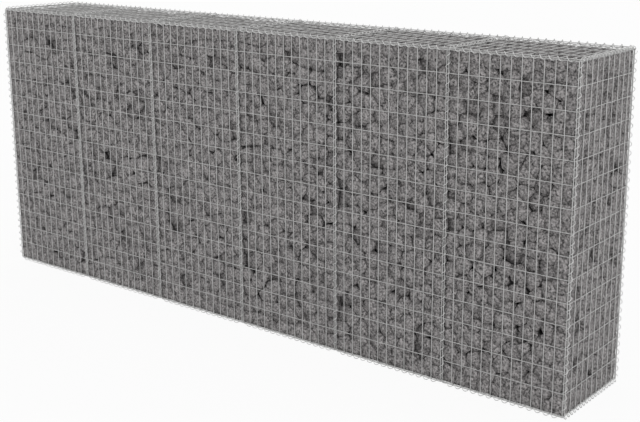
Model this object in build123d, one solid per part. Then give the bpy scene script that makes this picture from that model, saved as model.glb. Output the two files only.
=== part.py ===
from build123d import *
import os
from math import asin, ceil, cos, hypot, pi, sin, sqrt

# Gabion wall: six cages of welded steel mesh side by side, filled with broken stone.
#
# Each cage, or bay, has a front and a back panel, a base and a lid. Divider panels stand between
# the bays and an end panel closes each end. A panel is a lattice of straight wires: close-set line
# wires, and cross wires welded to them at twice that spacing. Where panels meet, their outermost
# wires lie side by side inside a spiral of wire that is screwed along the edge and laces them.
#
# Millimetres. X runs along the wall, Y from its front (-Y) to its back, Z up. The origin is at the
# middle of the footprint, level with the lowest loops of the base spirals.

# Mesh
BAYS = 6
LINE_SPACING = 50.0  # between line wires: upright in the walls, front to back in lid and base
CROSS_SPACING = 100.0  # between the level cross wires of the upright panels
SPACES_PER_BAY = 12  # line-wire spaces along a front panel, a lid or a base
SPACES_DEEP = 10  # line-wire spaces across an end panel
SPACES_HIGH = 15  # cross-wire spaces up a panel
LID_CROSS_EVERY = 2  # a lid's cross wire stands at every second upright of the end panel
MESH_WIRE = 3.5  # diameter
WIRE_STUB = 2.0  # length of wire past the outermost weld

# Lacing spirals
COIL_WIRE = 2.7  # diameter
COIL_RADIUS = 9.5  # from the spiral's axis to the wire's centre, at the bends of its turns
COIL_SIDES = 8  # straight runs in one turn
COIL_TURNS = 5  # turns in four line-wire spaces, and in two cross-wire spaces
LINE_SPACES_PER_TURNS = 4
CROSS_SPACES_PER_TURNS = 2
SEAT_CLEARANCE = 0.3  # between a laced wire and the inside of its spiral
COIL_END_CLEARANCE = 1.0  # between spirals that meet at a corner

# Stone fill
FILL_CLEARANCE = 0.3  # between the stone and the wires round it

# Each wire is a square bar of the same section area as the round wire.
BAR_SHARE = sqrt(pi) / 2
mesh_bar = MESH_WIRE * BAR_SHARE
coil_bar = COIL_WIRE * BAR_SHARE
coil_corner = coil_bar / sqrt(2)

# The laced wires lie this far from the spiral's axis, just inside its runs.
half_bend = pi / COIL_SIDES
run_inside = COIL_RADIUS * cos(half_bend) - coil_corner
seat = sqrt((run_inside - SEAT_CLEARANCE) ** 2 - (mesh_bar / 2) ** 2) - mesh_bar / 2

# A spiral reaches furthest at its bends, where its runs meet in mitres.
line_pitch = LINE_SPACES_PER_TURNS * LINE_SPACING / COIL_TURNS
cross_pitch = CROSS_SPACES_PER_TURNS * CROSS_SPACING / COIL_TURNS
run_chord = 2 * COIL_RADIUS * sin(half_bend)
run_length = hypot(run_chord, line_pitch / COIL_SIDES)
mitre_angle = asin(run_chord * sin(half_bend) / run_length)
coil_outside = COIL_RADIUS + coil_corner / cos(mitre_angle)

bay_width = SPACES_PER_BAY * LINE_SPACING
cage_depth = SPACES_DEEP * LINE_SPACING
cage_height = SPACES_HIGH * CROSS_SPACING
bay_pitch = bay_width + 2 * seat  # between the axes of the upright spirals

# The spirals' axes are the edges of the bays, and the panels' planes run through them.
axis_x = [(i - BAYS / 2) * bay_pitch for i in range(BAYS + 1)]
axis_front = -(cage_depth / 2 + seat)
axis_back = -axis_front
axis_base = coil_outside
axis_lid = axis_base + cage_height + 2 * seat

os.makedirs("parts", exist_ok=True)


def write(name, *solids):
    """One node's file, of one or more solids."""
    shape = solids[0] if len(solids) == 1 else Compound(children=list(solids))
    export_step(shape, f"parts/{name}.step", write_pcurves=False)


# ---------------------------------------------------------------- mesh panels
def mesh_panel(line_spaces, line_spacing, cross_spaces, cross_spacing):
    """A welded panel in the XY plane: line wires along Y, cross wires along X, fused at the welds."""
    width = line_spaces * line_spacing
    height = cross_spaces * cross_spacing
    line_wire = Box(mesh_bar, height + 2 * WIRE_STUB, mesh_bar)
    cross_wire = Box(width + 2 * WIRE_STUB, mesh_bar, mesh_bar)
    wires = [
        Pos(i * line_spacing - width / 2, 0, 0) * line_wire for i in range(line_spaces + 1)
    ]
    wires += [
        Pos(0, i * cross_spacing - height / 2, 0) * cross_wire for i in range(cross_spaces + 1)
    ]
    return wires[0].fuse(*wires[1:])


face_panel = mesh_panel(SPACES_PER_BAY, LINE_SPACING, SPACES_HIGH, CROSS_SPACING)
side_panel = mesh_panel(SPACES_DEEP, LINE_SPACING, SPACES_HIGH, CROSS_SPACING)
flat_panel = mesh_panel(
    SPACES_PER_BAY, LINE_SPACING, SPACES_DEEP // LID_CROSS_EVERY, LID_CROSS_EVERY * LINE_SPACING
)
middle_z = (axis_base + axis_lid) / 2

upright = Rot(90, 0, 0)
across = Rot(0, 0, 90)

for i in range(BAYS):
    middle_x = (axis_x[i] + axis_x[i + 1]) / 2
    write(f"front_panel_{i + 1}", Pos(middle_x, axis_front, middle_z) * upright * face_panel)
    write(f"back_panel_{i + 1}", Pos(middle_x, axis_back, middle_z) * upright * face_panel)
    write(f"base_panel_{i + 1}", Pos(middle_x, 0, axis_base) * flat_panel)
    write(f"lid_panel_{i + 1}", Pos(middle_x, 0, axis_lid) * flat_panel)

side_names = ["left_end_panel", *[f"divider_panel_{i}" for i in range(1, BAYS)], "right_end_panel"]
for name, x in zip(side_names, axis_x):
    write(name, Pos(x, 0, middle_z) * across * upright * side_panel)


# ------------------------------------------------------------ lacing spirals
def lacing_spiral(length, pitch, inset):
    """A spiral along Z that laces an edge whose end welds are at 0 and at length.

    Its corners lie an eighth of a turn apart, counted from the end weld. Every odd one is where
    the wire passes through a panel, so that it always passes midway between two of the places
    where a welded wire may stand. The spiral stops short of each end by at least inset.
    """
    step = pitch / COIL_SIDES
    skipped = max(0, ceil(inset / step))
    corners = [
        Vector(
            COIL_RADIUS * cos(2 * pi * (k - 1) / COIL_SIDES),
            COIL_RADIUS * sin(2 * pi * (k - 1) / COIL_SIDES),
            k * step,
        )
        for k in range(skipped, round(length / step) - skipped + 1)
    ]
    start = Plane(origin=corners[0], z_dir=corners[1] - corners[0])
    section = start * Rectangle(coil_bar, coil_bar)
    return sweep(section, path=Polyline(*corners), transition=Transition.RIGHT).solid()


# The cross spirals run from edge to edge. The others stop short of them, and of each other.
corner_inset = coil_outside + COIL_END_CLEARANCE + coil_corner - seat

upright_spiral = lacing_spiral(cage_height, cross_pitch, corner_inset)
long_spiral = lacing_spiral(bay_width, line_pitch, corner_inset)
short_spiral = lacing_spiral(cage_depth, line_pitch, 0)

for name, y in (("front_upright_spirals", axis_front), ("back_upright_spirals", axis_back)):
    write(name, *[Pos(x, y, axis_base + seat) * upright_spiral for x in axis_x])

for place, z in (("base", axis_base), ("lid", axis_lid)):
    for side, y in (("front", axis_front), ("back", axis_back)):
        write(
            f"{place}_{side}_spirals",
            *[Pos(x + seat, y, z) * Rot(0, 90, 0) * long_spiral for x in axis_x[:-1]],
        )
    write(
        f"{place}_cross_spirals",
        *[Pos(x, axis_front + seat, z) * Rot(-90, 0, 0) * short_spiral for x in axis_x],
    )


# ---------------------------------------------------------------- stone fill
# The fill of a bay reaches to the mesh on all sides. Its edges are cut back clear of the spirals.
fill_gap = mesh_bar / 2 + FILL_CLEARANCE
edge_cut = (coil_outside + FILL_CLEARANCE) * sqrt(2) - 2 * fill_gap
fill_block = Box(
    bay_pitch - 2 * fill_gap,
    axis_back - axis_front - 2 * fill_gap,
    axis_lid - axis_base - 2 * fill_gap,
)
stone_fill = chamfer(fill_block.edges(), edge_cut).solid()
for i in range(BAYS):
    middle_x = (axis_x[i] + axis_x[i + 1]) / 2
    write(f"stone_fill_{i + 1}", Pos(middle_x, 0, middle_z) * stone_fill)
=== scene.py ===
"""Dresses the gabion wall: drawn galvanised wire, coiled lacing spirals and broken stone."""
import itertools
import math

import bmesh
import bpy
import numpy as np
from mathutils import Matrix, Vector


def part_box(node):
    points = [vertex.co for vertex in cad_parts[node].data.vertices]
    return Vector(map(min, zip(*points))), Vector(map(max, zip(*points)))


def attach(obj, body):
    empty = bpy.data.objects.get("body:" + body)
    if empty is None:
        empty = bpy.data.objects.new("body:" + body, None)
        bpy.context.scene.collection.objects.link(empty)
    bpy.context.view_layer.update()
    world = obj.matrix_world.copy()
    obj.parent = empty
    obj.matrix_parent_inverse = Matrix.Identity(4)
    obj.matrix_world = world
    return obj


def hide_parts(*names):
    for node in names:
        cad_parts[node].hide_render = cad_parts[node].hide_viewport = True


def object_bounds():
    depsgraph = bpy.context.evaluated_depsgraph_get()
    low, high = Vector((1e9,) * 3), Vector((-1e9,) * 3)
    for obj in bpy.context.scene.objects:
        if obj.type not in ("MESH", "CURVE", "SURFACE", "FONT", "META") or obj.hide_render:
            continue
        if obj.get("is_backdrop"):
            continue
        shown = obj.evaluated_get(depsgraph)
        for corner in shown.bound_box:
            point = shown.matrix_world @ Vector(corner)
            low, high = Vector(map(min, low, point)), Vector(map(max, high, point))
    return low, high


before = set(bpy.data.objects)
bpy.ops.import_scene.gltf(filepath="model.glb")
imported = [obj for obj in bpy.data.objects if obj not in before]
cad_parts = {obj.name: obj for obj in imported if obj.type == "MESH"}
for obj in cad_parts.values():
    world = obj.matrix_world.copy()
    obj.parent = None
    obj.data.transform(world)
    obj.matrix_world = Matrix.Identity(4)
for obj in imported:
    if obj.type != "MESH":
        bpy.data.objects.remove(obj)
cad_low, cad_high = (list(corner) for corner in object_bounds())

scene = bpy.context.scene

# ------------------------------------------------------------------ camera
# It looks down along the front from beyond the right end, so that the front, the right end and a
# little of the lid show.
camera = bpy.data.objects.new("camera", bpy.data.cameras.new("camera"))
scene.collection.objects.link(camera)
camera.location = (3.7832, -4.2757, 2.1107)
camera.rotation_euler = (math.radians(90 - 13.616), 0, math.radians(37.671))
camera.data.sensor_width = 36
camera.data.lens = 63.527
camera.data.shift_x = -0.04147
camera.data.shift_y = -0.05163
camera.data.clip_end = 100
scene.camera = camera

# -------------------------------------------------------------- mesh panels
# Every side of a bay is a panel of straight drawn wire. The cross wires lie on the line wires and
# are spot-welded to them, so that each crossing has a small squashed bead of weld between the two.
# The wire is galvanised before it is welded: a pale, even grey zinc coat, slightly dulled.
BAYS = 6
LINE_SPACING = 0.05
CROSS_SPACING = 0.1
WIRE_RADIUS = 0.00175
WIRE_SIDES = 8
WIRE_STUB = 0.002  # length of wire past the outermost weld
WELD_SINK = 0.0005  # how far the two layers of wires are pressed into each other
WELD_SHAPE = (1.05, 1.05, 0.7)
LAYER = WIRE_RADIUS - WELD_SINK / 2  # from a panel's middle to the centre of either layer of wires
SMOOTH_ANGLE = math.radians(50)
WIRE_WAVE = 0.0004  # how far a wire strays from straight
WAVE_RATES = (37, 29)  # radians a metre, along the two axes that a stray lies across
FINE_WAVE_RATE = 2.3  # times as fast, for a finer wave on the long one
MOST_PHASE = 6.28  # a whole wave, in radians
MESH_ZINC_DULL = (0.46, 0.46, 0.455, 1)
MESH_ZINC_CLEAN = (0.61, 0.61, 0.605, 1)
MESH_ROUGHNESS = 0.45


def node_adder(tree):
    """A function that adds a node to a material or a world, with its inputs and settings."""
    def add(kind, inputs=(), **settings):
        node = tree.nodes.new(kind)
        for key, value in settings.items():
            setattr(node, key, value)
        for key, value in dict(inputs).items():
            if isinstance(value, bpy.types.NodeSocket):
                tree.links.new(value, node.inputs[key])
            else:
                node.inputs[key].default_value = value
        return node

    return add


def new_material(name):
    """A new material, its shader, its function that adds a node, and its links."""
    material = bpy.data.materials.new(name)
    material.use_nodes = True
    tree = material.node_tree
    return material, tree.nodes["Principled BSDF"], node_adder(tree), tree.links


def galvanised_wire(name, dull, clean, roughness):
    """Zinc-coated wire: a pale grey coat with dull patches and fine drawing marks."""
    material, shader, add, links = new_material(name)
    place = add("ShaderNodeTexCoord").outputs["Object"]
    patches = add("ShaderNodeTexNoise", {"Vector": place, "Scale": 55.0, "Detail": 3.0})
    grain = add("ShaderNodeTexNoise", {"Vector": place, "Scale": 900.0, "Detail": 2.0})
    tone = add("ShaderNodeValToRGB", {"Fac": patches.outputs["Fac"]})
    tone.color_ramp.elements[0].position = 0.32
    tone.color_ramp.elements[0].color = dull
    tone.color_ramp.elements[1].position = 0.68
    tone.color_ramp.elements[1].color = clean
    rough = add("ShaderNodeMapRange", {
        "Value": grain.outputs["Fac"], "To Min": roughness - 0.08, "To Max": roughness + 0.1})
    bump = add("ShaderNodeBump", {
        "Height": grain.outputs["Fac"], "Strength": 0.25, "Distance": 0.0002})
    links.new(tone.outputs["Color"], shader.inputs["Base Color"])
    links.new(rough.outputs["Result"], shader.inputs["Roughness"])
    links.new(bump.outputs["Normal"], shader.inputs["Normal"])
    shader.inputs["Metallic"].default_value = 0.35
    return material


def deselect():
    bpy.ops.object.select_all(action="DESELECT")


def apply_modifier(obj, kind, **settings):
    """Adds a modifier with its settings and makes its result the object's mesh."""
    modifier = obj.modifiers.new(kind.lower(), kind)
    for key, value in settings.items():
        setattr(modifier, key, value)
    bpy.context.view_layer.objects.active = obj
    bpy.ops.object.modifier_apply(modifier=modifier.name)


def bake_place(obj):
    """Puts the object's place into its mesh."""
    deselect()
    obj.select_set(True)
    bpy.context.view_layer.objects.active = obj
    bpy.ops.object.transform_apply(location=True, rotation=True, scale=True)


def join(objects, name):
    """Makes one object of several, under a new name."""
    deselect()
    for obj in objects:
        obj.select_set(True)
    bpy.context.view_layer.objects.active = objects[0]
    bpy.ops.object.join()
    objects[0].name = name
    return objects[0]


def array(obj, count, offset):
    """Repeats an object's mesh in a row."""
    apply_modifier(obj, "ARRAY", count=count, use_relative_offset=False,
                   use_constant_offset=True, constant_offset_displace=offset)


def row_of_wires(axis, length, spans, count, spacing, height):
    """Parallel wires along local X or Y, cut into one span between each two crossings."""
    deselect()
    turn = (math.pi / 2, 0, 0) if axis == "Y" else (0, math.pi / 2, 0)
    bpy.ops.mesh.primitive_cylinder_add(
        vertices=WIRE_SIDES, radius=WIRE_RADIUS, depth=length, rotation=turn)
    wires = bpy.context.object
    bake_place(wires)
    along = 1 if axis == "Y" else 0
    normal = (0, 1, 0) if axis == "Y" else (1, 0, 0)
    step = (length - 2 * WIRE_STUB) / spans
    bpy.ops.object.mode_set(mode="EDIT")
    for i in range(spans + 1):
        cut = [0, 0, 0]
        cut[along] = i * step + WIRE_STUB - length / 2
        bpy.ops.mesh.select_all(action="SELECT")
        bpy.ops.mesh.bisect(plane_co=cut, plane_no=normal)
    bpy.ops.object.mode_set(mode="OBJECT")
    across = [0, 0, 0]
    across[1 - along] = spacing
    array(wires, count, across)
    start = [0, 0, height]
    start[1 - along] = -spacing * (count - 1) / 2
    wires.location = start
    bake_place(wires)
    return wires


def row_of_welds(columns, column_spacing, rows, row_spacing):
    """A squashed bead at every crossing, midway between the two layers of wires."""
    deselect()
    bpy.ops.mesh.primitive_ico_sphere_add(subdivisions=1, radius=WIRE_RADIUS)
    welds = bpy.context.object
    welds.scale = WELD_SHAPE
    welds.location = (-column_spacing * (columns - 1) / 2, -row_spacing * (rows - 1) / 2, 0)
    bake_place(welds)
    array(welds, columns, (column_spacing, 0, 0))
    array(welds, rows, (0, row_spacing, 0))
    return welds


def welded_panel(name, line_spaces, line_spacing, cross_spaces, cross_spacing):
    """A panel in the XY plane: line wires along Y in the upper layer, cross wires in the lower."""
    width = line_spaces * line_spacing
    height = cross_spaces * cross_spacing
    lines = row_of_wires(
        "Y", height + 2 * WIRE_STUB, cross_spaces, line_spaces + 1, line_spacing, LAYER)
    crosses = row_of_wires(
        "X", width + 2 * WIRE_STUB, line_spaces, cross_spaces + 1, cross_spacing, -LAYER)
    welds = row_of_welds(line_spaces + 1, line_spacing, cross_spaces + 1, cross_spacing)
    panel = join([lines, crosses, welds], name)
    deselect()
    panel.select_set(True)
    bpy.ops.object.shade_smooth_by_angle(angle=SMOOTH_ANGLE)
    return panel


mesh_wire = galvanised_wire(
    "galvanised_mesh_wire", MESH_ZINC_DULL, MESH_ZINC_CLEAN, MESH_ROUGHNESS)
wave_random = np.random.RandomState(11)


def node_middle(node):
    low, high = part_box(node)
    return (Vector(low) + Vector(high)) / 2


def corners_of(mesh):
    """A mesh's corners as rows of x, y, z."""
    corners = np.empty(len(mesh.vertices) * 3)
    mesh.vertices.foreach_get("co", corners)
    return corners.reshape(-1, 3)


def phase_along(corners, axis, rates):
    """How far along its wave each corner is. The wave runs along the two axes that aren't axis."""
    return corners[:, (axis + 1) % 3] * rates[0] + corners[:, (axis + 2) % 3] * rates[1]


def move_corners(mesh, corners):
    mesh.vertices.foreach_set("co", corners.ravel())
    mesh.update()


def dress_panel(pattern, node, turn):
    """Stands a copy of a panel in the place of its node and lets its wires stray a little."""
    panel = pattern.copy()
    panel.data = pattern.data.copy()
    panel.name = node + "_wires"
    scene.collection.objects.link(panel)
    panel.data.transform(turn)
    corners = corners_of(panel.data)
    phases = wave_random.uniform(0, MOST_PHASE, (3, 3))  # a row an axis: long wave, fine wave, spare
    for axis in range(3):
        along = phase_along(corners, axis, WAVE_RATES)
        corners[:, axis] += WIRE_WAVE * np.sin(along + phases[axis, 0])
        corners[:, axis] += WIRE_WAVE / 2 * np.sin(along * FINE_WAVE_RATE + phases[axis, 1])
    move_corners(panel.data, corners + np.array(node_middle(node)))
    panel.data.materials.clear()
    panel.data.materials.append(mesh_wire)
    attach(panel, "root")
    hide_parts(node)


def spaces(length, spacing):
    """The number of spaces between wires in a panel this long, stubs included."""
    return round((length - 2 * WIRE_STUB) / spacing)


def rotation(*rows):
    """A turn with these rows, as a matrix to transform a mesh by."""
    return Matrix([(*row, 0) for row in rows] + [(0, 0, 0, 1)])


face_low, face_high = (Vector(corner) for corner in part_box("front_panel_1"))
side_low, side_high = (Vector(corner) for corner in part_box("left_end_panel"))
spaces_along = spaces(face_high.x - face_low.x, LINE_SPACING)
spaces_deep = spaces(side_high.y - side_low.y, LINE_SPACING)
spaces_high = spaces(face_high.z - face_low.z, CROSS_SPACING)
spaces_across_lid = spaces(side_high.y - side_low.y, CROSS_SPACING)

face_pattern = welded_panel("face_pattern", spaces_along, LINE_SPACING, spaces_high, CROSS_SPACING)
side_pattern = welded_panel("side_pattern", spaces_deep, LINE_SPACING, spaces_high, CROSS_SPACING)
flat_pattern = welded_panel(
    "flat_pattern", spaces_along, LINE_SPACING, spaces_across_lid, CROSS_SPACING)

# Each turn says which way a panel's line wires face. On an upright panel they face outwards. In a
# lid or a base they run front to back and face the stones, with the lengthwise wires outside.
facing_front = rotation((1, 0, 0), (0, 0, -1), (0, 1, 0))
facing_back = rotation((-1, 0, 0), (0, 0, 1), (0, 1, 0))
facing_left = rotation((0, 0, -1), (-1, 0, 0), (0, 1, 0))
facing_right = rotation((0, 0, 1), (1, 0, 0), (0, 1, 0))
facing_down = rotation((1, 0, 0), (0, -1, 0), (0, 0, -1))
facing_up = rotation((1, 0, 0), (0, 1, 0), (0, 0, 1))

for bay in range(1, BAYS + 1):
    dress_panel(face_pattern, f"front_panel_{bay}", facing_front)
    dress_panel(face_pattern, f"back_panel_{bay}", facing_back)
    dress_panel(flat_pattern, f"lid_panel_{bay}", facing_down)
    dress_panel(flat_pattern, f"base_panel_{bay}", facing_up)
dress_panel(side_pattern, "left_end_panel", facing_left)
dress_panel(side_pattern, "right_end_panel", facing_right)
for bay in range(1, BAYS):
    dress_panel(side_pattern, f"divider_panel_{bay}", facing_right)
for pattern in (face_pattern, side_pattern, flat_pattern):
    bpy.data.objects.remove(pattern)

# ---------------------------------------------------------- lacing spirals
# A coil of thinner wire is screwed along every edge where panels meet, round the outermost wires
# of each, and binds them together. It is bright zinc-coated spring wire, cut off at the corners.
COIL_WIRE_RADIUS = 0.0016
COIL_WIRE_SIDES = 6
COIL_RADIUS = 0.0093  # from the coil's axis to the middle of its wire
COIL_STEPS = 16  # in one turn
COIL_PITCH = 0.04
CROSS_COIL_PITCH = 4 * LINE_SPACING / 7  # seven turns in four spaces of the mesh
COIL_END_INSET = 0.01  # keeps a coil's ends clear of the coils that cross it at the corners
FIRST_PASS = 1 / 8  # of a turn, from a panel's end weld to where the wire first passes through it
COIL_STRAY = 0.0003  # how far a coil's wire strays
COIL_STRAY_RATES = (61, 47)  # radians a metre, as for the mesh
LACING_ZINC_DULL = (0.52, 0.52, 0.515, 1)
LACING_ZINC_CLEAN = (0.68, 0.68, 0.675, 1)
LACING_ROUGHNESS = 0.38

coil_wire = galvanised_wire(
    "galvanised_lacing_wire", LACING_ZINC_DULL, LACING_ZINC_CLEAN, LACING_ROUGHNESS)
coil_random = np.random.RandomState(5)


def coil(start, end, pitch):
    """A coil along local Z from start to end, in phase with a panel's crossings."""
    deselect()
    slope = math.atan(pitch / (2 * math.pi * COIL_RADIUS))
    bpy.ops.mesh.primitive_circle_add(
        vertices=COIL_WIRE_SIDES, radius=COIL_WIRE_RADIUS, fill_type="NOTHING",
        location=(COIL_RADIUS, 0, 0), rotation=(math.pi / 2, 0, 0))
    wire = bpy.context.object
    wire.scale = (1, 1 / math.cos(slope), 1)
    bake_place(wire)
    turns = (end - start) / pitch
    apply_modifier(wire, "SCREW", axis="Z", angle=2 * math.pi * turns, screw_offset=end - start,
                   steps=round(COIL_STEPS * turns), render_steps=round(COIL_STEPS * turns),
                   use_merge_vertices=False, use_smooth_shade=True)
    bpy.ops.object.mode_set(mode="EDIT")
    bpy.ops.mesh.select_all(action="DESELECT")
    bpy.ops.mesh.select_mode(type="EDGE")
    bpy.ops.mesh.select_non_manifold()
    bpy.ops.mesh.fill_holes(sides=0)
    bpy.ops.mesh.select_all(action="SELECT")
    bpy.ops.mesh.normals_make_consistent(inside=False)
    bpy.ops.object.mode_set(mode="OBJECT")
    wire.rotation_euler.z = 2 * math.pi * (start / pitch - FIRST_PASS)
    wire.location.z = start
    bake_place(wire)
    return wire


axis_x = [node_middle("left_end_panel").x]
axis_x += [node_middle(f"divider_panel_{bay}").x for bay in range(1, BAYS)]
axis_x += [node_middle("right_end_panel").x]
axis_front = node_middle("front_panel_1").y
axis_back = node_middle("back_panel_1").y
axis_base = node_middle("base_panel_1").z
axis_lid = node_middle("lid_panel_1").z
seat = face_low.x + WIRE_STUB - axis_x[0]

upright_coil = coil(COIL_END_INSET, spaces_high * CROSS_SPACING - COIL_END_INSET, COIL_PITCH)
long_coil = coil(COIL_END_INSET, spaces_along * LINE_SPACING - COIL_END_INSET, COIL_PITCH)
long_coil.data.transform(rotation((0, 0, 1), (0, 1, 0), (-1, 0, 0)))
cross_coil = coil(0, spaces_deep * LINE_SPACING, CROSS_COIL_PITCH)
cross_coil.data.transform(rotation((1, 0, 0), (0, 0, 1), (0, -1, 0)))


def lace(node, pattern, places):
    """Copies of a coil, one at each place, in the stead of a node of lacing spirals."""
    coils = []
    for place in places:
        copy = bpy.data.objects.new(node + "_coil", pattern.data.copy())
        scene.collection.objects.link(copy)
        corners = corners_of(copy.data)
        phases = coil_random.uniform(0, MOST_PHASE, 3)
        for axis in range(3):
            along = phase_along(corners, axis, COIL_STRAY_RATES)
            corners[:, axis] += COIL_STRAY * np.sin(along + phases[axis])
        move_corners(copy.data, corners + np.array(place))
        coils.append(copy)
    lacing = join(coils, node + "_wire")
    lacing.data.materials.clear()
    lacing.data.materials.append(coil_wire)
    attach(lacing, "root")
    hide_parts(node)


for side, y in (("front", axis_front), ("back", axis_back)):
    lace(f"{side}_upright_spirals", upright_coil, [(x, y, axis_base + seat) for x in axis_x])
    lace(f"base_{side}_spirals", long_coil, [(x + seat, y, axis_base) for x in axis_x[:-1]])
    lace(f"lid_{side}_spirals", long_coil, [(x + seat, y, axis_lid) for x in axis_x[:-1]])
for place, z in (("base", axis_base), ("lid", axis_lid)):
    lace(f"{place}_cross_spirals", cross_coil, [(x, axis_front + seat, z) for x in axis_x])
for pattern in (upright_coil, long_coil, cross_coil):
    bpy.data.objects.remove(pattern)

# -------------------------------------------------------------- stone fill
# Each bay is packed by hand with broken quarry stone, sorted to be too large for the mesh openings.
# A stone is a lump of hard grey rock with flat broken faces. The flattest is laid against the mesh,
# so that the joints are tight, with a deeper dark hollow here and there where a stone sits back.

# How the stones' places are chosen. A length with no other unit named is in metres.
STONE_RADIUS_MIN = 0.022
STONE_RADIUS_MAX = 0.039
CORE_STONE_RADIUS = 0.062
CORE_DEPTH = 0.11  # behind the mesh, where the larger stones begin
MOST_STONES = 6000  # in a bay
# A stone touches three sides of its bay, two, one or none. How often a place is tried for each.
TRIES = ((3, 300), (2, 6000), (1, 24000), (0, 8000))
SIZE_SPREAD = 0.3  # how far the sizes mix while they go from the largest to the smallest
SIDE_CLEARANCE = 0.8  # radii from a place to the cage, at least
SEAT_DEPTH = (0.7, 0.95)  # radii from a stone's middle to a side that it touches
STONE_OVERLAP = 0.84  # of two stones' radii, the least that their middles are apart

# How a stone is shaped, and the grey of its rock.
STONE_REACH = (1.08, 1.42)  # its size in radii, before it is broken
EDGE_STONE_REACH = (2.6, 3.0)  # the same at an edge of the cage, which it has to fill
STONE_PROPORTIONS = [1.16, 1.0, 0.88]
CORNER_BREAK_TILT = 0.45
CORNER_BREAK_REACH = (0.9, 1.2)  # of its size, from its middle to where a corner is broken off
THINNEST_BREAK = 0.0003
BREAK_TOLERANCE = 0.00001
SHOWN_FACING = 0.3  # how squarely a face has to face the mesh to be one that shows
FACE_SWELL = (0.0, 0.003)
SWELL_STRAY = 0.1  # of its radius
SHORTEST_EDGE = 0.0045
ROCK_DARK = (0.178, 0.170, 0.170, 1)
ROCK_LIGHT = (0.212, 0.203, 0.202, 1)
TONE_SHARE = 0.30  # how much a stone's own tone counts in its grey
CLOUD_SHARE = 0.45  # and how much the clouds on it do

# How it meets its neighbours.
STONE_GAP = 0.0003
JOINT_TILT = 0.26
EDGE_JOINT_TILT = 0.05
JOINT_REACH = 1.5  # two stones' radii, within which they are parted
EDGE_JOINT_REACH = 2.4
SLANT_SEEDS = np.array([12.9898, 78.233, 37.719])

# How it meets the cage.
SEAT_REACH = 2.2  # radii from a side, within which it is fitted to that side
EDGE_BAND = 3.2  # radii from two sides, within which it is at an edge
FACE_TILT = 0.22
FACE_INSET = 0.006
EDGE_FACE_TILT = 0.04
EDGE_FACE_INSET = 0.0015
HOLLOW_SHARE = 0.13  # of the stones at the mesh sit well back from it
HOLLOW_INSET = (0.016, 0.034)
LID_INSET = (0.002, 0.012)  # how far the fill has settled under the lid
MESH_GAP = 0.0036  # from a panel's middle to the stones
COIL_GAP = 0.0075  # from a coil's axis to the stones

stone_random = np.random.RandomState(23)


def scatter(half, open_sides):
    """Places for a bay's stones, about its middle: first at its corners, then edges, sides, inside."""
    centres = np.zeros((MOST_STONES, 3))
    radii = np.zeros(MOST_STONES)
    found = 0
    for touching, tries in TRIES:
        for attempt in range(tries):
            fade = attempt / tries + stone_random.uniform(-SIZE_SPREAD, SIZE_SPREAD)
            fade = min(1, max(0, fade))
            radius = STONE_RADIUS_MAX - (STONE_RADIUS_MAX - STONE_RADIUS_MIN) * fade
            spot = stone_random.uniform(-1, 1, 3) * (half - radius * SIDE_CLEARANCE)
            met = stone_random.permutation(3)[:touching]
            depth = radius * stone_random.uniform(*SEAT_DEPTH)
            spot[met] = np.copysign(half[met] - depth, spot[met])
            if np.min(open_sides @ -spot + abs(open_sides) @ half) > CORE_DEPTH:
                radius = CORE_STONE_RADIUS
            away = np.linalg.norm(centres[:found] - spot, axis=1)
            if found and np.any(away < STONE_OVERLAP * (radii[:found] + radius)):
                continue
            centres[found] = spot
            radii[found] = radius
            found += 1
    return centres[:found], radii[:found]


def random_facing():
    return Vector(stone_random.normal(size=3)).normalized()


def break_off(lump, point, facing):
    """Breaks a lump along a plane, drops what lies beyond it and closes the broken face."""
    if max((corner.co - point).dot(facing) for corner in lump.verts) < THINNEST_BREAK:
        return
    broken = bmesh.ops.bisect_plane(
        lump, geom=lump.verts[:] + lump.edges[:] + lump.faces[:], dist=BREAK_TOLERANCE,
        plane_co=point, plane_no=facing, clear_outer=True)
    rim = [edge for edge in broken["geom_cut"] if isinstance(edge, bmesh.types.BMEdge)]
    bmesh.ops.edgeloop_fill(lump, edges=rim)


def broken_stone(centre, radius, at_edge, joints, seats, planes):
    """One stone: a lump with its corners broken off, fitted to its neighbours and to the mesh."""
    lump = bmesh.new()
    turn = random_facing().rotation_difference(random_facing()).to_matrix()
    size = radius * stone_random.uniform(*(EDGE_STONE_REACH if at_edge else STONE_REACH))
    reach = Vector(stone_random.permutation(STONE_PROPORTIONS)) * size
    bmesh.ops.create_cube(lump, size=2)
    for corner in lump.verts:
        corner.co = centre + turn @ (corner.co * reach)
    for z, y, x in itertools.product((-1, 1), repeat=3):
        stray = Vector(stone_random.uniform(-CORNER_BREAK_TILT, CORNER_BREAK_TILT, 3))
        facing = turn @ (Vector((x, y, z)) + stray).normalized()
        depth = stone_random.uniform(*CORNER_BREAK_REACH)
        break_off(lump, centre + facing * size * depth, facing)
    for point, facing in joints + seats + planes:
        break_off(lump, point, facing)
    bmesh.ops.remove_doubles(lump, verts=lump.verts[:], dist=SHORTEST_EDGE)
    shown = [face for face in lump.faces if len(face.verts) > 3 and
             any(face.normal.dot(facing) > SHOWN_FACING for _, facing in seats)]
    swollen = bmesh.ops.poke(lump, faces=shown, center_mode="MEAN")
    for corner in swollen["verts"]:
        corner.co += corner.normal * stone_random.uniform(*FACE_SWELL)
        corner.co += Vector(stone_random.uniform(-SWELL_STRAY, SWELL_STRAY, 3)) * radius
    bmesh.ops.triangulate(lump, faces=lump.faces[:])
    lump.verts.index_update()
    corners = np.array([corner.co for corner in lump.verts])
    triangles = np.array([[corner.index for corner in face.verts] for face in lump.faces])
    lump.free()
    return corners, triangles


def near_sides(centre, reach, half, open_sides):
    """The sides of the cage within reach of a stone's centre, and how far each is from it."""
    depths = [(side, abs(side) @ half - MESH_GAP - centre @ side) for side in open_sides]
    return [(side, depth) for side, depth in depths if depth < reach]


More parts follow.
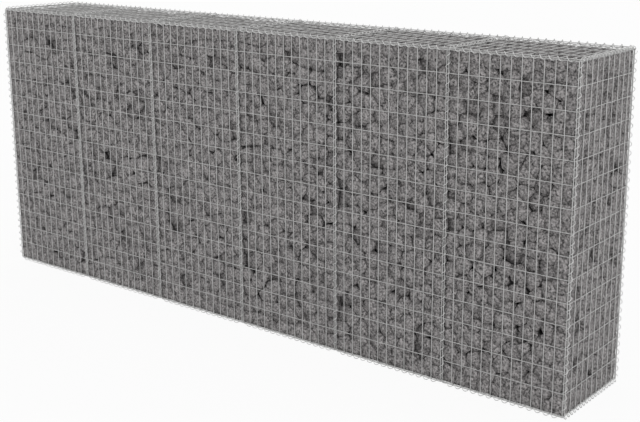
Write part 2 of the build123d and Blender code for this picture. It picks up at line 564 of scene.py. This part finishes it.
def joint_planes(i, centres, radii, at_edge):
    """The planes that part a stone from its neighbours, each at the same slant for both."""
    reach = EDGE_JOINT_REACH if at_edge[i] else JOINT_REACH
    away = centres - centres[i]
    distance = np.linalg.norm(away, axis=1)
    near = np.flatnonzero((distance > 0) & (distance < reach * (radii[i] + radii)))
    joints = []
    for j in near[np.argsort(distance[near])]:
        tilt = EDGE_JOINT_TILT if at_edge[i] and at_edge[j] else JOINT_TILT
        slant = np.sin((i + 1) * (j + 1) * SLANT_SEEDS) * tilt
        facing = away[j] / distance[j] + math.copysign(1, j - i) * slant
        share = (distance[j] ** 2 + radii[i] ** 2 - radii[j] ** 2) / (2 * distance[j]) - STONE_GAP
        point = centres[i] + away[j] / distance[j] * share
        joints.append((Vector(point), Vector(facing).normalized()))
    return joints


def seat_planes(centre, radius, half, open_sides):
    """The slanting faces that a stone turns to the mesh, close behind it or well back in a hollow."""
    touched = near_sides(centre, SEAT_REACH * radius, half, open_sides)
    tilt = FACE_TILT if len(touched) == 1 else EDGE_FACE_TILT
    inset = stone_random.uniform(0, FACE_INSET if len(touched) == 1 else EDGE_FACE_INSET)
    if len(touched) == 1 and stone_random.uniform() < HOLLOW_SHARE:
        inset = stone_random.uniform(*HOLLOW_INSET)
    seats = []
    for side, depth in touched:
        slant = side + stone_random.uniform(-tilt, tilt, 3)
        settled = stone_random.uniform(*LID_INSET) if side[2] > 0 else 0
        point = centre + side * (depth - inset - settled)
        seats.append((Vector(point), Vector(slant).normalized()))
    return seats


def cage_planes(half):
    """The planes that hold a bay's stones: its six sides, and a cut along each coiled edge."""
    sides = np.vstack([np.eye(3), -np.eye(3)])
    planes = [(side, float(abs(side) @ half) - MESH_GAP) for side in sides]
    for i, one in enumerate(sides):
        for other in sides[i + 1:]:
            if one @ other == 0:
                facing = (one + other) / math.sqrt(2)
                planes.append((facing, float(abs(facing) @ half) - COIL_GAP))
    return planes


def pack_stones(half, open_sides):
    """Every stone of one bay, about the bay's middle: corners, triangles and each corner's tone."""
    centres, radii = scatter(half, open_sides)
    cage = cage_planes(half)
    planes = [(Vector(facing * limit), Vector(facing)) for facing, limit in cage]
    at_edge = [len(near_sides(centre, EDGE_BAND * radius, half, open_sides)) > 1
               for centre, radius in zip(centres, radii)]
    all_corners, all_triangles, all_tones = [], [], []
    total = 0
    for i, (centre, radius) in enumerate(zip(centres, radii)):
        joints = joint_planes(i, centres, radii, at_edge)
        seats = seat_planes(centre, radius, half, open_sides)
        corners, triangles = broken_stone(Vector(centre), radius, at_edge[i], joints, seats, planes)
        for facing, limit in cage:
            corners = corners - np.outer(np.maximum(corners @ facing - limit, 0), facing)
        all_corners.append(corners)
        all_triangles.append(triangles + total)
        all_tones.append(np.full(len(corners), stone_random.uniform(0, 1)))
        total += len(corners)
    return np.vstack(all_corners), np.vstack(all_triangles), np.concatenate(all_tones)


def quarry_stone():
    """Grey rock: each stone its own tone, clouded and speckled, with a rough broken surface."""
    material, shader, add, links = new_material("quarry_stone")
    place = add("ShaderNodeTexCoord").outputs["Object"]
    tone = add("ShaderNodeAttribute", attribute_name="tone").outputs["Fac"]
    clouds = add("ShaderNodeTexNoise", {"Vector": place, "Scale": 34.0, "Detail": 4.0})
    mottles = add("ShaderNodeTexNoise", {
        "Vector": place, "Scale": 110.0, "Detail": 3.0, "Roughness": 0.6, "Distortion": 0.2})
    share = add("ShaderNodeMath", {0: tone, 1: TONE_SHARE}, operation="MULTIPLY")
    cloudy = add("ShaderNodeMath", {0: clouds.outputs["Fac"], 1: CLOUD_SHARE, 2: share.outputs[0]},
                 operation="MULTIPLY_ADD")
    ramp = add("ShaderNodeValToRGB", {"Fac": cloudy.outputs[0]})
    ramp.color_ramp.elements[0].position = 0.1
    ramp.color_ramp.elements[0].color = ROCK_DARK
    ramp.color_ramp.elements[1].position = 0.7
    ramp.color_ramp.elements[1].color = ROCK_LIGHT
    speckle = add("ShaderNodeMapRange", {
        "Value": mottles.outputs["Fac"], "From Min": 0.3, "From Max": 0.7, "To Min": 0.0,
        "To Max": 2.3})
    colour = add("ShaderNodeVectorMath", {0: ramp.outputs["Color"], 1: speckle.outputs["Result"]},
                 operation="MULTIPLY")
    lumps = add("ShaderNodeTexNoise", {
        "Vector": place, "Scale": 95.0, "Detail": 6.0, "Roughness": 0.65})
    bump = add("ShaderNodeBump", {
        "Height": lumps.outputs["Fac"], "Strength": 0.8, "Distance": 0.006})
    links.new(colour.outputs[0], shader.inputs["Base Color"])
    links.new(bump.outputs["Normal"], shader.inputs["Normal"])
    shader.inputs["Roughness"].default_value = 0.88
    return material


stone = quarry_stone()
bay_half = np.array([axis_x[1] - axis_x[0], axis_back - axis_front, axis_lid - axis_base]) / 2

for bay in range(BAYS):
    middle = np.array([(axis_x[bay] + axis_x[bay + 1]) / 2, 0, (axis_base + axis_lid) / 2])
    open_sides = [(0, -1, 0), (0, 1, 0), (0, 0, -1), (0, 0, 1)]
    if bay == 0:
        open_sides.append((-1, 0, 0))
    if bay == BAYS - 1:
        open_sides.append((1, 0, 0))
    corners, triangles, tones = pack_stones(bay_half, np.array(open_sides, float))
    mesh = bpy.data.meshes.new(f"stones_{bay + 1}")
    mesh.vertices.add(len(corners))
    mesh.vertices.foreach_set("co", (corners + middle).ravel())
    mesh.loops.add(triangles.size)
    mesh.loops.foreach_set("vertex_index", triangles.ravel())
    mesh.polygons.add(len(triangles))
    mesh.polygons.foreach_set("loop_start", np.arange(0, triangles.size, 3))
    mesh.update(calc_edges=True)
    mesh.attributes.new("tone", "FLOAT", "POINT").data.foreach_set("value", tones)
    mesh.materials.append(stone)
    stones = bpy.data.objects.new(f"stones_{bay + 1}", mesh)
    scene.collection.objects.link(stones)
    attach(stones, "root")
    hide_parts(f"stone_fill_{bay + 1}")

# -------------------------------------------------------------------- stage
# A plain white studio: a floor that keeps a soft shadow, an even white surround and a soft lamp.
# Both the floor and the surround look white to the camera, but light the wall less than that.
FLOOR_SIZE = 60
FLOOR_WHITE = 0.92  # the share of the floor's look that is plain white, the rest showing its shadow
WORLD_LIGHT = 0.75

deselect()
bpy.ops.mesh.primitive_plane_add(size=FLOOR_SIZE, location=(0, 0, cad_low[2]))
floor = bpy.context.object
floor.name = "floor"
floor_material, floor_shader, add, links = new_material("studio_floor")
floor_shader.inputs["Base Color"].default_value = (0.85, 0.85, 0.85, 1)
floor_shader.inputs["Roughness"].default_value = 1.0
white = add("ShaderNodeEmission", {"Color": (1, 1, 1, 1), "Strength": 1.0})
seen = add("ShaderNodeLightPath").outputs["Is Camera Ray"]
part = add("ShaderNodeMath", {0: seen, 1: FLOOR_WHITE}, operation="MULTIPLY")
blend = add("ShaderNodeMixShader", {
    0: part.outputs[0], 1: floor_shader.outputs[0], 2: white.outputs[0]})
links.new(blend.outputs[0], floor_material.node_tree.nodes["Material Output"].inputs["Surface"])
floor.data.materials.append(floor_material)
floor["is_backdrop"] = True

world = bpy.data.worlds.new("studio")
scene.world = world
world.use_nodes = True
add = node_adder(world.node_tree)
rays = add("ShaderNodeLightPath").outputs
seen = rays["Is Camera Ray"]
for ray in ("Is Glossy Ray", "Is Transmission Ray"):
    seen = add("ShaderNodeMath", {0: seen, 1: rays[ray]}, operation="MAXIMUM").outputs[0]
level = add("ShaderNodeMapRange", {"Value": seen, "To Min": WORLD_LIGHT, "To Max": 1.0})
background = world.node_tree.nodes["Background"]
background.inputs["Color"].default_value = (1, 1, 1, 1)
world.node_tree.links.new(level.outputs[0], background.inputs["Strength"])

lamp = bpy.data.objects.new("soft_lamp", bpy.data.lights.new("soft_lamp", "SUN"))
lamp.data.energy = 1.1
lamp.data.angle = math.radians(25)
lamp.rotation_euler = (math.radians(68), 0, math.radians(55))
scene.collection.objects.link(lamp)

scene.view_settings.view_transform = "Standard"
